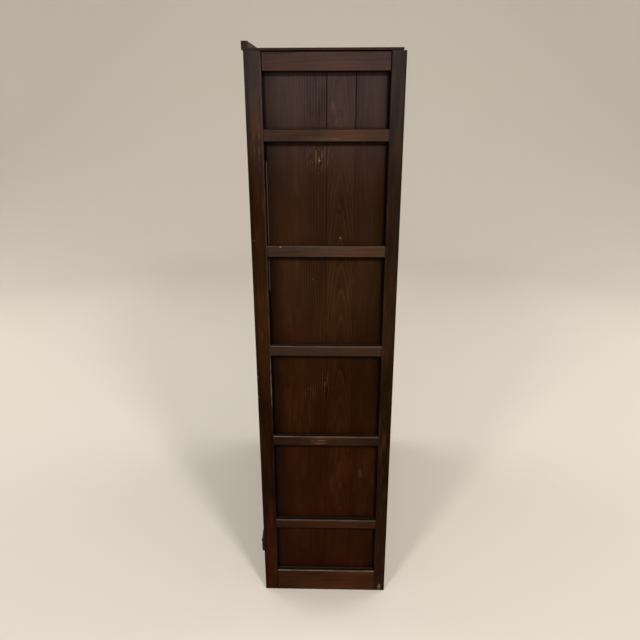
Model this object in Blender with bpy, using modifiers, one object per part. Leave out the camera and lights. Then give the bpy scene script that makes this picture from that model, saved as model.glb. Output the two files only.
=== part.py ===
"""Kitchen tansu: a tall narrow frame-and-panel cupboard with sliding doors above a wide drawer.

Metres, +Z up. The front faces -Y, the width runs along X, and the origin lies on the floor under the
middle of the whole object. Depths are counted back from the front faces of the front posts, insets are
counted inwards from the outer faces of the two sides, and a side is -1 for the left and 1 for the right.
"""
import math

import bmesh
import bpy
from mathutils import Matrix, Vector

# Clearances
FIT = 0.0003                    # gap between pieces that touch
OVERCUT = 0.002                 # how far a cutter runs past the face that it opens

# Frame of posts and side rails
WIDTH = 0.900
DEPTH = 0.369                   # front of the front posts to the back of the rear posts
HEIGHT = 1.544                  # posts, under the top board
POST_WIDTH = 0.036              # seen from the front
FRONT_POST_DEPTH = 0.039        # seen from the side
REAR_POST_DEPTH = 0.033
TOP_RAIL_HEIGHT = 0.0415
RAIL_HEIGHT = 0.0275
BOTTOM_RAIL_HEIGHT = 0.074
TOP_FIELD = 0.1265              # fields between the rails; the one above the drawer's takes what is left
UPPER_FIELD = 0.2515
MIDDLE_FIELD = 0.2440
LOWER_FIELD = 0.2485
DRAWER_FIELD = 0.1620
SIDE_RAIL_THICKNESS = 0.015
TOP_RAIL_GAP = 0.002            # open joint between the top side rail and the top board
SIDE_TENON_LENGTH = 0.014
SIDE_TENON_SHOULDER = 0.0035
ARRIS_ROUND = 0.003             # worn upper outer edge of each side rail below the top one
ARRIS_STEPS = 3

# Side walls of edge-joined boards
WALL_THICKNESS = 0.011
WALL_FOOT = 0.030               # height of the boards' lower ends above the floor
GROOVE_DEPTH = 0.007            # grooves of the posts that hold the side and back walls
HOUSING_DEPTH = 0.004           # housings of the side walls that hold the level boards
SEAM_SHARES = (0.505, 0.734)    # board joints of the side walls, as shares of the way from post to post
SEAM_WIDTH = 0.0009
SEAM_CUT = 0.0015

# Top
TOP_BOARD_THICKNESS = 0.006
TOP_BOARD_SHORT = 0.0065        # how far the top board stops short of the rear posts' back faces
CORNICE_DEPTH = 0.0152
CORNICE_HEIGHT = 0.0205
CORNICE_OVERHANG = 0.004        # how far the cornice stands ahead of the posts
CORNICE_ROUND = 0.004           # rounding of the lower front edge
CORNICE_EASE = 0.35             # rounding of the upper edges, as a share of that one
CORNICE_ROUND_STEPS = 4

# Back
BACK_THICKNESS = 0.008
BACK_RAIL_THICKNESS = 0.014
BACK_RAIL_INSET = 0.0004        # how far the rear rails lie inside the posts' back faces
BACK_RAIL_HEIGHT = 0.045
BACK_TENON_LENGTH = 0.015
BACK_TENON_SHOULDER = 0.003
BACK_BOARD_COUNT = 3

# Level boards
BOARD_THICKNESS = 0.014

# Sliding doors, each pair in two tracks with the right-hand door in front
DOOR_THICKNESS = 0.015
DOOR_SETBACK = 0.005            # front door's face behind the posts' front
DOOR_GAP = 0.002                # between the two doors of a pair
TRACK_BACK = 0.003              # front rail behind the rear door's plane
STILE_WIDTH = 0.044
DOOR_TOP_RAIL = 0.044
DOOR_BOTTOM_RAIL = 0.056
DOOR_PLAY = 0.0008              # between a closed door's edge and the post
DOOR_LIFT = 0.001               # between a door's body and the rails above and below it
TONGUE_THICKNESS = 0.008
TONGUE_INSET = 0.006            # tongues stop this far short of the door's edges
TRACK_PLAY = 0.0005
TRACK_STOP = 0.003              # wood left at each end of a track
SILL_GROOVE = 0.004
HEAD_GROOVE = 0.010
HEAD_ROOM = 0.005               # space above the top tongue, which lets a door be lifted out
FRONT_TENON_LENGTH = 0.018
FRONT_TENON_THICKNESS = 0.016
FRONT_TENON_SHOULDER = 0.005

# Door fillings
LIP = 0.006                     # front thickness of the frame that covers the filling's edges
REBATE = 0.007                  # width of that cover
LATTICE_BAR_COUNT = 13
LATTICE_BAR_WIDTH = 0.009
LATTICE_TIE_COUNT = 3
LATTICE_TIE_HEIGHT = 0.012
BATTEN_COUNT = 2
BATTEN_HEIGHT = 0.026

# Sunk finger pulls of the doors
CUP_RADIUS = 0.014
CUP_DEPTH = 0.009
CUP_WALL = 0.0015
CUP_FLANGE = 0.003              # width of the rim around the cup
CUP_RIM = 0.0008                # thickness of that rim
ROUND_STEPS = 24                # facets around cups, ears and holes
MERGE_DISTANCE = 0.00001

# Drawer
DRAWER_SETBACK = 0.002
DRAWER_SIDE_PLAY = 0.0012
DRAWER_PLAY = 0.0009            # above and below the drawer's front
DRAWER_FRONT_THICKNESS = 0.020
DRAWER_WALL = 0.012
DRAWER_LAP = 0.010              # front thickness left over the ends of the sides
DRAWER_SIDE_DROP = 0.014        # the sides' top below the front's top
DRAWER_BOTTOM_THICKNESS = 0.008
DRAWER_BOTTOM_RAISE = 0.008     # the bottom's underside above the sides' lower edges
DRAWER_GROOVE = 0.005
DRAWER_BACK_GAP = 0.020         # free space behind the closed drawer
GUIDE_HEIGHT = 0.022

# Iron pulls of the drawer
PULL_INSET = 0.150              # middle of each pull, inwards from the side
PULL_HEIGHT = 0.063             # bail's axis above the bottom rail
PULL_STANDOFF = 0.012           # bail's axis ahead of the drawer's face
PLATE_MARGIN = 0.019            # plate past the middle of each ear
PLATE_HEIGHT = 0.022
PLATE_THICKNESS = 0.0025
PLATE_ROUND = 0.009
PLATE_ROUND_STEPS = 6
EAR_SPREAD = 0.088              # middle of each ear from the middle of the pull
EAR_RADIUS = 0.0062
EAR_WIDTH = 0.009
EAR_STEM_INSET = 0.0008         # ear's stem is this much narrower than its knuckle on each face
ROD_DIAMETER = 0.007
ROD_ROUNDNESS = 2               # extra facets in each quarter of the rod
BAIL_GAP = 0.0012               # between an ear and the bail's arm
BAIL_DROP = 0.040
BAIL_BOW = 0.010                # how far the middle of the bail stands ahead of its arms
BAIL_CORNER = 0.014
BAIL_CORNER_POINTS = 5
BAIL_BAR_POINTS = 9
PIN_PAST_EAR = 0.003

# Colours and surfaces
STAIN_FRAME = (0.040, 0.022, 0.016)
STAIN_WALL = (0.030, 0.014, 0.009)
STAIN_DOOR = (0.036, 0.018, 0.012)
RAW_BOARD = (0.290, 0.190, 0.110)
IRON_BLACK = (0.018, 0.017, 0.017)
LACQUER_ROUGHNESS = 0.40
RAW_ROUGHNESS = 0.75
IRON_ROUGHNESS = 0.50

# Sizes that follow from the ones above
X, Y, Z = range(3)
SIDE_NAMES = {-1: "left", 1: "right"}
LEFT, RIGHT = SIDE_NAMES
CLEAR_WIDTH = WIDTH - 2 * POST_WIDTH
REAR_POST_FRONT = DEPTH - REAR_POST_DEPTH
WALL_OUTER = SIDE_RAIL_THICKNESS + FIT
WALL_INNER = WALL_OUTER + WALL_THICKNESS
BACK_RAIL_BACK = DEPTH - BACK_RAIL_INSET
BACK_WALL_BACK = BACK_RAIL_BACK - BACK_RAIL_THICKNESS - FIT
BACK_WALL_FRONT = BACK_WALL_BACK - BACK_THICKNESS
FRONT_RAIL_DEPTH = max(DOOR_SETBACK + 2 * DOOR_THICKNESS + DOOR_GAP + TRACK_BACK, FRONT_POST_DEPTH)
BOARD_FRONT = FRONT_RAIL_DEPTH + FIT
DOOR_WIDTH = (CLEAR_WIDTH + STILE_WIDTH) / 2 - DOOR_PLAY
DOOR_FRONTS = {RIGHT: DOOR_SETBACK, LEFT: DOOR_SETBACK + DOOR_THICKNESS + DOOR_GAP}
BAIL_AXIS_AHEAD = PULL_STANDOFF - DRAWER_SETBACK
FRONT_REACH = max(CORNICE_OVERHANG, BAIL_AXIS_AHEAD + BAIL_BOW + ROD_DIAMETER / 2)
FRONT_Y = FRONT_REACH - (DEPTH + FRONT_REACH) / 2


def rail_levels():
    """Lower and upper height of each side rail, from the top rail down to the bottom rail."""
    levels = [(HEIGHT - TOP_RAIL_HEIGHT, HEIGHT)]
    for field in (TOP_FIELD, UPPER_FIELD, MIDDLE_FIELD, LOWER_FIELD):
        high = levels[-1][0] - field
        levels.append((high - RAIL_HEIGHT, high))
    low = BOTTOM_RAIL_HEIGHT + DRAWER_FIELD
    levels.append((low, low + RAIL_HEIGHT))
    levels.append((0.0, BOTTOM_RAIL_HEIGHT))
    return levels


LEVELS = rail_levels()
TOP_LEVEL, UPPER_SHELF_LEVEL, MIDDLE_SHELF_LEVEL, MIDDLE_LEVEL = LEVELS[:4]
LOWER_SHELF_LEVEL, LOWER_LEVEL, FOOT_LEVEL = LEVELS[4:]


def x_at(side, inset):
    """X of a plane that lies inset from the outer face of one side."""
    return side * (WIDTH / 2 - inset)


def y_at(depth):
    """Y of a plane that lies depth behind the front posts' front faces."""
    return FRONT_Y + depth


def span(side, insets, depths, heights):
    """Limits along X, Y and Z of a piece that belongs to one side."""
    return (
        tuple(sorted(x_at(side, inset) for inset in insets)),
        tuple(y_at(depth) for depth in depths),
        tuple(heights),
    )


def centred_span(half_width, depths, heights):
    """Limits along X, Y and Z of a piece that lies across the middle."""
    return ((-half_width, half_width), tuple(y_at(depth) for depth in depths), tuple(heights))


def clear_scene():
    for obj in list(bpy.data.objects):
        bpy.data.objects.remove(obj, do_unlink=True)


def new_collection(name):
    collection = bpy.data.collections.new(name)
    bpy.context.scene.collection.children.link(collection)
    return collection


def new_material(name, colour, roughness, metallic=0.0):
    material = bpy.data.materials.new(name)
    material.use_nodes = True
    shader = material.node_tree.nodes["Principled BSDF"]
    shader.inputs["Base Color"].default_value = (*colour, 1.0)
    shader.inputs["Roughness"].default_value = roughness
    shader.inputs["Metallic"].default_value = metallic
    material.diffuse_color = (*colour, 1.0)
    return material


def add_boxes(bm, boxes, origin):
    """Separate cuboids in one mesh, each given by its limits along X, Y and Z."""
    for limits in boxes:
        low = Vector(pair[0] for pair in limits)
        high = Vector(pair[1] for pair in limits)
        size = high - low
        place = Matrix.Translation((low + high) / 2 - origin) @ Matrix.Diagonal((*size, 1.0))
        bmesh.ops.create_cube(bm, size=1.0, matrix=place)


def middle_of(limits):
    return Vector((low + high) / 2 for low, high in limits)


def object_from(bm, name, origin, collection):
    mesh = bpy.data.meshes.new(name)
    bm.to_mesh(mesh)
    bm.free()
    obj = bpy.data.objects.new(name, mesh)
    obj.location = origin
    collection.objects.link(obj)
    return obj


def block(name, limits, material):
    """A rectangular piece, with its origin in its middle."""
    origin = middle_of(limits)
    bm = bmesh.new()
    add_boxes(bm, [limits], origin)
    piece = object_from(bm, name, origin, PARTS)
    piece.data.materials.append(material)
    return piece


def draw_out(bm, axis, end, cross, length):
    """Draw a tenon or tongue out of an end face; cross holds its limits along the other axes."""
    face = max(bm.faces, key=lambda item: end * item.calc_center_median()[axis])
    root = bmesh.ops.extrude_discrete_faces(bm, faces=[face])["faces"][0]
    for vert in root.verts:
        for other, (low, high) in cross.items():
            vert.co[other] = low if vert.co[other] < (low + high) / 2 else high
    tip = bmesh.ops.extrude_discrete_faces(bm, faces=[root])["faces"][0]
    shift = Vector((0.0, 0.0, 0.0))
    shift[axis] = end * length
    bmesh.ops.translate(bm, vec=shift, verts=tip.verts)


def block_with_ends(name, limits, material, axis, ends):
    """A rectangular piece with a tenon or tongue on each end face.

    The ends map -1 and 1 to the tenon's limits across the piece and its length.
    """
    origin = middle_of(limits)
    bm = bmesh.new()
    add_boxes(bm, [limits], origin)
    for end, (cross, length) in ends.items():
        local = {}
        for other, (low, high) in cross.items():
            local[other] = (low - origin[other], high - origin[other])
        draw_out(bm, axis, end, local, length)
    piece = object_from(bm, name, origin, PARTS)
    piece.data.materials.append(material)
    return piece


def hide_tool(tool):
    tool.hide_render = True
    tool.display_type = 'WIRE'


def box_tool(name, boxes):
    """A hidden cutter made of separate cuboids."""
    origin = middle_of(boxes[0])
    bm = bmesh.new()
    add_boxes(bm, boxes, origin)
    tool = object_from(bm, name, origin, CUTTERS)
    hide_tool(tool)
    return tool


def rod_tool(name, centres, radius, length, axis):
    """A hidden cutter or core made of separate rods that lie along X or Y."""
    turn = Matrix.Rotation(math.pi / 2, 4, 'Y' if axis == X else 'X')
    bm = bmesh.new()
    for centre in centres:
        place = Matrix.Translation(Vector(centre) - Vector(centres[0])) @ turn
        bmesh.ops.create_cone(bm, cap_ends=True, segments=ROUND_STEPS, radius1=radius, radius2=radius,
                              depth=length, matrix=place)
    tool = object_from(bm, name, centres[0], CUTTERS)
    hide_tool(tool)
    return tool


def combine(piece, tool, operation):
    modifier = piece.modifiers.new(tool.name, 'BOOLEAN')
    modifier.operation = operation
    modifier.solver = 'EXACT'
    modifier.object = tool


def cut(piece, tool):
    combine(piece, tool, 'DIFFERENCE')


def runs_along(direction, axis):
    return max((X, Y, Z), key=lambda other: abs(direction[other])) == axis


def round_edges(piece, width, segments, weight_of):
    """Round the edges that weight_of gives a weight: it takes the edge's direction and its middle."""
    bm = bmesh.new()
    bm.from_mesh(piece.data)
    layer = bm.edges.layers.float.new("bevel_weight_edge")
    for edge in bm.edges:
        first, second = (vert.co for vert in edge.verts)
        edge[layer] = weight_of((second - first).normalized(), (first + second) / 2)
    bm.to_mesh(piece.data)
    bm.free()
    modifier = piece.modifiers.new("rounded_edges", 'BEVEL')
    modifier.width = width
    modifier.segments = segments
    modifier.limit_method = 'WEIGHT'


def moving_group(name, place):
    """An empty that carries the pieces of one moving body."""
    carrier = bpy.data.objects.new(name, None)
    carrier.location = place
    PARTS.objects.link(carrier)
    return carrier


def carry(carrier, pieces):
    for piece in pieces:
        piece.parent = carrier
        piece.matrix_parent_inverse = Matrix.Translation(carrier.location).inverted()


def side_tenon_cross(side, heights):
    """Limits of a side rail's tenons along X and Z."""
    insets = (SIDE_TENON_SHOULDER, SIDE_RAIL_THICKNESS - SIDE_TENON_SHOULDER)
    return {
        X: tuple(sorted(x_at(side, inset) for inset in insets)),
        Z: (heights[0] + SIDE_TENON_SHOULDER, heights[1] - SIDE_TENON_SHOULDER),
    }


def front_tenon_cross(heights):
    """Limits of a front rail's tenons along Y and Z, clear of the groove behind them in the post."""
    front = (FRONT_POST_DEPTH - GROOVE_DEPTH - FRONT_TENON_THICKNESS) / 2
    return {
        Y: (y_at(front), y_at(front + FRONT_TENON_THICKNESS)),
        Z: (heights[0] + FRONT_TENON_SHOULDER, heights[1] - FRONT_TENON_SHOULDER),
    }


def back_tenon_cross(heights):
    """Limits of a rear rail's tenons along Y and Z."""
    return {
        Y: (y_at(BACK_RAIL_BACK - BACK_RAIL_THICKNESS + BACK_TENON_SHOULDER),
            y_at(BACK_RAIL_BACK - BACK_TENON_SHOULDER)),
        Z: (heights[0] + BACK_TENON_SHOULDER, heights[1] - BACK_TENON_SHOULDER),
    }


def side_rail_heights(number):
    low, high = LEVELS[number]
    return (low, high - TOP_RAIL_GAP) if number == 0 else (low, high)


def front_rail_heights():
    return {"top": TOP_LEVEL, "middle": MIDDLE_LEVEL, "lower": LOWER_LEVEL, "bottom": FOOT_LEVEL}


def back_rail_heights():
    middle = sum(MIDDLE_LEVEL) / 2
    return {
        "top": (HEIGHT - BACK_RAIL_HEIGHT, HEIGHT),
        "middle": (middle - BACK_RAIL_HEIGHT / 2, middle + BACK_RAIL_HEIGHT / 2),
        "bottom": (FOOT_LEVEL[0], FOOT_LEVEL[1]),
    }


def mortise(cross, axis, reach):
    """Limits of a mortise: the tenon's cross limits with clearance, and reach along the tenon's axis."""
    limits = [None, None, None]
    limits[axis] = tuple(sorted(reach))
    for other, (low, high) in cross.items():
        limits[other] = (low - FIT, high + FIT)
    return tuple(limits)


def build_posts(material):
    for side, side_name in SIDE_NAMES.items():
        groove_insets = (WALL_OUTER - FIT, WALL_INNER + FIT)
        groove_heights = (WALL_FOOT - FIT, HEIGHT + OVERCUT)
        side_crosses = [side_tenon_cross(side, side_rail_heights(number)) for number in range(len(LEVELS))]

        front = block(f"post_front_{side_name}",
                      span(side, (0.0, POST_WIDTH), (0.0, FRONT_POST_DEPTH), (0.0, HEIGHT)), material)
        seat = (y_at(FRONT_POST_DEPTH - SIDE_TENON_LENGTH - FIT), y_at(FRONT_POST_DEPTH + OVERCUT))
        cuts = [mortise(cross, Y, seat) for cross in side_crosses]
        cuts.append(span(side, groove_insets, (FRONT_POST_DEPTH - GROOVE_DEPTH, FRONT_POST_DEPTH + OVERCUT),
                         groove_heights))
        seat = (x_at(side, POST_WIDTH + OVERCUT), x_at(side, POST_WIDTH - FRONT_TENON_LENGTH - FIT))
        for heights in front_rail_heights().values():
            cuts.append(mortise(front_tenon_cross(heights), X, seat))
        cut(front, box_tool(f"mortises_front_{side_name}", cuts))

        rear = block(f"post_rear_{side_name}",
                     span(side, (0.0, POST_WIDTH), (REAR_POST_FRONT, DEPTH), (0.0, HEIGHT)), material)
        seat = (y_at(REAR_POST_FRONT - OVERCUT), y_at(REAR_POST_FRONT + SIDE_TENON_LENGTH + FIT))
        cuts = [mortise(cross, Y, seat) for cross in side_crosses]
        cuts.append(span(side, groove_insets, (REAR_POST_FRONT - OVERCUT, REAR_POST_FRONT + GROOVE_DEPTH),
                         groove_heights))
        cuts.append(span(side, (POST_WIDTH - GROOVE_DEPTH, POST_WIDTH + OVERCUT),
                         (BACK_WALL_FRONT - FIT, BACK_WALL_BACK + FIT), groove_heights))
        seat = (x_at(side, POST_WIDTH + OVERCUT), x_at(side, POST_WIDTH - BACK_TENON_LENGTH - FIT))
        for heights in back_rail_heights().values():
            cuts.append(mortise(back_tenon_cross(heights), X, seat))
        cut(rear, box_tool(f"mortises_rear_{side_name}", cuts))


def round_arris(rail, side):
    """Round the upper edge of a side rail's outer face."""
    outer_face = SIDE_RAIL_THICKNESS / 2 - FIT

    def weight_of(direction, middle):
        upper_outer = side * middle[X] > outer_face and middle[Z] > 0
        return 1.0 if upper_outer and runs_along(direction, Y) else 0.0

    round_edges(rail, ARRIS_ROUND, ARRIS_STEPS, weight_of)


def build_side_rails(material):
    for side, side_name in SIDE_NAMES.items():
        for number in range(len(LEVELS)):
            heights = side_rail_heights(number)
            limits = span(side, (0.0, SIDE_RAIL_THICKNESS),
                          (FRONT_POST_DEPTH + FIT, REAR_POST_FRONT - FIT), heights)
            tenon = (side_tenon_cross(side, heights), SIDE_TENON_LENGTH + FIT)
            name = f"side_rail_{side_name}_{number + 1}"
            rail = block_with_ends(name, limits, material, Y, {-1: tenon, 1: tenon})
            if number > 0:
                round_arris(rail, side)


def level_boards():
    """Lower and upper height of each level board."""
    def centred(level):
        middle = sum(level) / 2
        return (middle - BOARD_THICKNESS / 2, middle + BOARD_THICKNESS / 2)

    def flush(level):
        return (level[1] - BOARD_THICKNESS, level[1])

    return {
        "shelf_upper": centred(UPPER_SHELF_LEVEL),
        "shelf_middle": centred(MIDDLE_SHELF_LEVEL),
        "floor_upper": flush(MIDDLE_LEVEL),
        "shelf_lower": centred(LOWER_SHELF_LEVEL),
        "floor_lower": flush(LOWER_LEVEL),
        "bottom_board": flush(FOOT_LEVEL),
    }


def build_side_walls(material):
    for side, side_name in SIDE_NAMES.items():
        wall = block(f"side_wall_{side_name}",
                     span(side, (WALL_OUTER, WALL_INNER),
                          (FRONT_POST_DEPTH - GROOVE_DEPTH + FIT, REAR_POST_FRONT + GROOVE_DEPTH - FIT),
                          (WALL_FOOT, HEIGHT)), material)
        cuts = []
        for low, high in level_boards().values():
            cuts.append(span(side, (WALL_INNER - HOUSING_DEPTH, WALL_INNER + OVERCUT),
                             (BOARD_FRONT - FIT, REAR_POST_FRONT), (low - FIT, high + FIT)))
        for share in SEAM_SHARES:
            seam = FRONT_POST_DEPTH + share * (REAR_POST_FRONT - FRONT_POST_DEPTH)
            cuts.append(span(side, (WALL_OUTER - OVERCUT, WALL_OUTER + SEAM_CUT),
                             (seam - SEAM_WIDTH / 2, seam + SEAM_WIDTH / 2),
                             (WALL_FOOT - OVERCUT, HEIGHT + OVERCUT)))
        cut(wall, box_tool(f"housings_{side_name}", cuts))


def build_level_boards(material):
    half_width = WIDTH / 2 - WALL_INNER + HOUSING_DEPTH - FIT
    depths = (BOARD_FRONT, BACK_WALL_FRONT - FIT)
    for name, heights in level_boards().items():
        board = block(name, centred_span(half_width, depths, heights), material)
        corners = []
        for side in SIDE_NAMES:
            corners.append(span(side, (0.0, POST_WIDTH + FIT), (REAR_POST_FRONT - FIT, DEPTH),
                                (heights[0] - OVERCUT, heights[1] + OVERCUT)))
        cut(board, box_tool(f"notches_{name}", corners))


def build_back(wall_material, rail_material):
    half_width = WIDTH / 2 - POST_WIDTH + GROOVE_DEPTH - FIT
    limits = centred_span(half_width, (BACK_WALL_FRONT, BACK_WALL_BACK), (WALL_FOOT, HEIGHT))
    wall = block("back_wall", limits, wall_material)
    seams = []
    for board in range(1, BACK_BOARD_COUNT):
        middle = board * CLEAR_WIDTH / BACK_BOARD_COUNT - CLEAR_WIDTH / 2
        seams.append(((middle - SEAM_WIDTH / 2, middle + SEAM_WIDTH / 2),
                      (y_at(BACK_WALL_BACK - SEAM_CUT), y_at(BACK_WALL_BACK + OVERCUT)),
                      (WALL_FOOT - OVERCUT, HEIGHT + OVERCUT)))
    cut(wall, box_tool("back_seams", seams))
    depths = (BACK_RAIL_BACK - BACK_RAIL_THICKNESS, BACK_RAIL_BACK)
    for name, heights in back_rail_heights().items():
        limits = centred_span(CLEAR_WIDTH / 2 - FIT, depths, heights)
        tenon = (back_tenon_cross(heights), BACK_TENON_LENGTH + FIT)
        block_with_ends(f"rear_rail_{name}", limits, rail_material, X, {-1: tenon, 1: tenon})


def track_cuts(heights):
    """Limits of the two door tracks between the given heights."""
    half_length = CLEAR_WIDTH / 2 - FIT - TRACK_STOP
    half_width = TONGUE_THICKNESS / 2 + TRACK_PLAY
    tracks = []
    for front in DOOR_FRONTS.values():
        middle = front + DOOR_THICKNESS / 2
        tracks.append(centred_span(half_length, (middle - half_width, middle + half_width), heights))
    return tracks


def build_front_rails(material):
    tracks = {
        "top": track_cuts((TOP_LEVEL[0] - OVERCUT, TOP_LEVEL[0] + HEAD_GROOVE)),
        "middle": (track_cuts((MIDDLE_LEVEL[1] - SILL_GROOVE, MIDDLE_LEVEL[1] + OVERCUT))
                   + track_cuts((MIDDLE_LEVEL[0] - OVERCUT, MIDDLE_LEVEL[0] + HEAD_GROOVE))),
        "lower": track_cuts((LOWER_LEVEL[1] - SILL_GROOVE, LOWER_LEVEL[1] + OVERCUT)),
    }
    for name, heights in front_rail_heights().items():
        limits = centred_span(CLEAR_WIDTH / 2 - FIT, (0.0, FRONT_RAIL_DEPTH), heights)
        tenon = (front_tenon_cross(heights), FRONT_TENON_LENGTH + FIT)
        rail = block_with_ends(f"front_rail_{name}", limits, material, X, {-1: tenon, 1: tenon})
        if name in tracks:
            cut(rail, box_tool(f"tracks_{name}", tracks[name]))


def build_top(board_material, cornice_material):
    cornice_back = CORNICE_DEPTH - CORNICE_OVERHANG
    block("top_board",
          centred_span(WIDTH / 2, (cornice_back + FIT, DEPTH - TOP_BOARD_SHORT),
                       (HEIGHT + FIT, HEIGHT + TOP_BOARD_THICKNESS)), board_material)
    cornice = block("cornice_moulding",
                    centred_span(WIDTH / 2, (-CORNICE_OVERHANG, cornice_back),
                                 (HEIGHT + FIT, HEIGHT + FIT + CORNICE_HEIGHT)), cornice_material)

    def weight_of(direction, middle):
        if not runs_along(direction, X):
            return 0.0
        if middle[Z] > 0:
            return CORNICE_EASE
        return 1.0 if middle[Y] < 0 else 0.0

    round_edges(cornice, CORNICE_ROUND, CORNICE_ROUND_STEPS, weight_of)


def door_limits(side, opening):
    """Limits of a closed door's body in an opening between two heights."""
    outer = CLEAR_WIDTH / 2 - DOOR_PLAY
    across = tuple(sorted((side * outer, side * (outer - DOOR_WIDTH))))
    front = y_at(DOOR_FRONTS[side])
    heights = (opening[0] + DOOR_LIFT, opening[1] - DOOR_LIFT)
    return (across, (front, front + DOOR_THICKNESS), heights)


def sight_limits(body):
    """Limits along X and Z of the open field inside a door's frame."""
    across = (body[X][0] + STILE_WIDTH, body[X][1] - STILE_WIDTH)
    return across, (body[Z][0] + DOOR_BOTTOM_RAIL, body[Z][1] - DOOR_TOP_RAIL)


def rebate_limits(body, margin):
    """Limits of the seat behind the lip, smaller by a margin along X and Z."""
    across, heights = sight_limits(body)
    widen = REBATE - margin
    return ((across[0] - widen, across[1] + widen), None, (heights[0] - widen, heights[1] + widen))


def split(low, high, bars, bar_size):
    """The equal gaps left between a number of bars."""
    gap = (high - low - bars * bar_size) / (bars + 1)
    starts = [low + index * (gap + bar_size) for index in range(bars + 1)]
    return [(start, start + gap) for start in starts]


def build_door_frame(name, side, body, battens, material):
    tongue_y = (body[Y][0] + (DOOR_THICKNESS - TONGUE_THICKNESS) / 2,
                body[Y][1] - (DOOR_THICKNESS - TONGUE_THICKNESS) / 2)
    cross = {X: (body[X][0] + TONGUE_INSET, body[X][1] - TONGUE_INSET), Y: tongue_y}
    ends = {
        -1: (cross, DOOR_LIFT + SILL_GROOVE - FIT),
        1: (cross, DOOR_LIFT + HEAD_GROOVE - HEAD_ROOM),
    }
    frame = block_with_ends(f"{name}_frame", body, material, Z, ends)

    lip_back = body[Y][0] + LIP
    seat = rebate_limits(body, 0.0)
    cut(frame, box_tool(f"rebate_{name}", [(seat[X], (lip_back, body[Y][1] + OVERCUT), seat[Z])]))
    across, heights = sight_limits(body)
    fields = [(across, (body[Y][0] - OVERCUT, lip_back + OVERCUT), field)
              for field in split(*heights, battens, BATTEN_HEIGHT)]
    cut(frame, box_tool(f"fields_{name}", fields))

    place = pull_place(side, body)
    middle = place + Vector((0.0, (CUP_DEPTH + FIT - OVERCUT) / 2, 0.0))
    cut(frame, rod_tool(f"pull_hole_{name}", [middle], CUP_RADIUS + FIT, CUP_DEPTH + FIT + OVERCUT, Y))
    return frame


def pull_place(side, body):
    """Middle of the finger pull, on the front face of the door's outer stile."""
    edge = body[X][1] if side == RIGHT else body[X][0]
    return Vector((edge - side * STILE_WIDTH / 2, body[Y][0], sum(body[Z]) / 2))


def build_finger_pull(name, place, material):
    """A turned iron cup with a thin rim, sunk into the stile."""
    inner = CUP_RADIUS - CUP_WALL
    rim = CUP_RADIUS + CUP_FLANGE
    floor = -CUP_DEPTH + CUP_WALL
    profile = [(0.0, floor), (inner, floor), (inner, FIT + CUP_RIM), (rim, FIT + CUP_RIM), (rim, FIT),
               (CUP_RADIUS, FIT), (CUP_RADIUS, -CUP_DEPTH), (0.0, -CUP_DEPTH)]
    bm = bmesh.new()
    verts = [bm.verts.new((radius, 0.0, height)) for radius, height in profile]
    for first, second in zip(verts, verts[1:]):
        bm.edges.new((first, second))
    cup = object_from(bm, f"{name}_pull", place, PARTS)
    cup.rotation_euler = (math.pi / 2, 0.0, 0.0)
    cup.data.materials.append(material)
    turn = cup.modifiers.new("turned", 'SCREW')
    turn.steps = ROUND_STEPS
    turn.render_steps = ROUND_STEPS
    turn.use_merge_vertices = True
    turn.merge_threshold = MERGE_DISTANCE
    return cup


def build_lattice(name, body, material):
    """A grille of upright bars tied by cross bars, cut from one plate that fills the rebate."""
    seat = rebate_limits(body, FIT)
    depths = (body[Y][0] + LIP + FIT, body[Y][1] - FIT)
    lattice = block(f"{name}_lattice", (seat[X], depths, seat[Z]), material)
    across, heights = sight_limits(body)
    through = (depths[0] - OVERCUT, depths[1] + OVERCUT)
    gaps = []
    for column in split(*across, LATTICE_BAR_COUNT, LATTICE_BAR_WIDTH):
        for row in split(*heights, LATTICE_TIE_COUNT, LATTICE_TIE_HEIGHT):
            gaps.append((column, through, row))
    cut(lattice, box_tool(f"gaps_{name}", gaps))
    return lattice


def build_panel(name, body, material):
    seat = rebate_limits(body, FIT)
    return block(f"{name}_panel", (seat[X], (body[Y][0] + LIP + FIT, body[Y][1] - FIT), seat[Z]), material)


def build_doors(frame_material, filling_material, iron):
    upper_opening = (MIDDLE_LEVEL[1], TOP_LEVEL[0])
    lower_opening = (LOWER_LEVEL[1], MIDDLE_LEVEL[0])
    for side, side_name in SIDE_NAMES.items():
        for tier, opening in (("upper", upper_opening), ("lower", lower_opening)):
            name = f"{tier}_door_{side_name}"
            body = door_limits(side, opening)
            if tier == "upper":
                frame = build_door_frame(name, side, body, 0, frame_material)
                filling = build_lattice(name, body, filling_material)
            else:
                frame = build_door_frame(name, side, body, BATTEN_COUNT, frame_material)
                filling = build_panel(name, body, filling_material)
            cup = build_finger_pull(name, pull_place(side, body), iron)
            carry(moving_group(f"{name}_slide", middle_of(body)), [frame, filling, cup])


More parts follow.
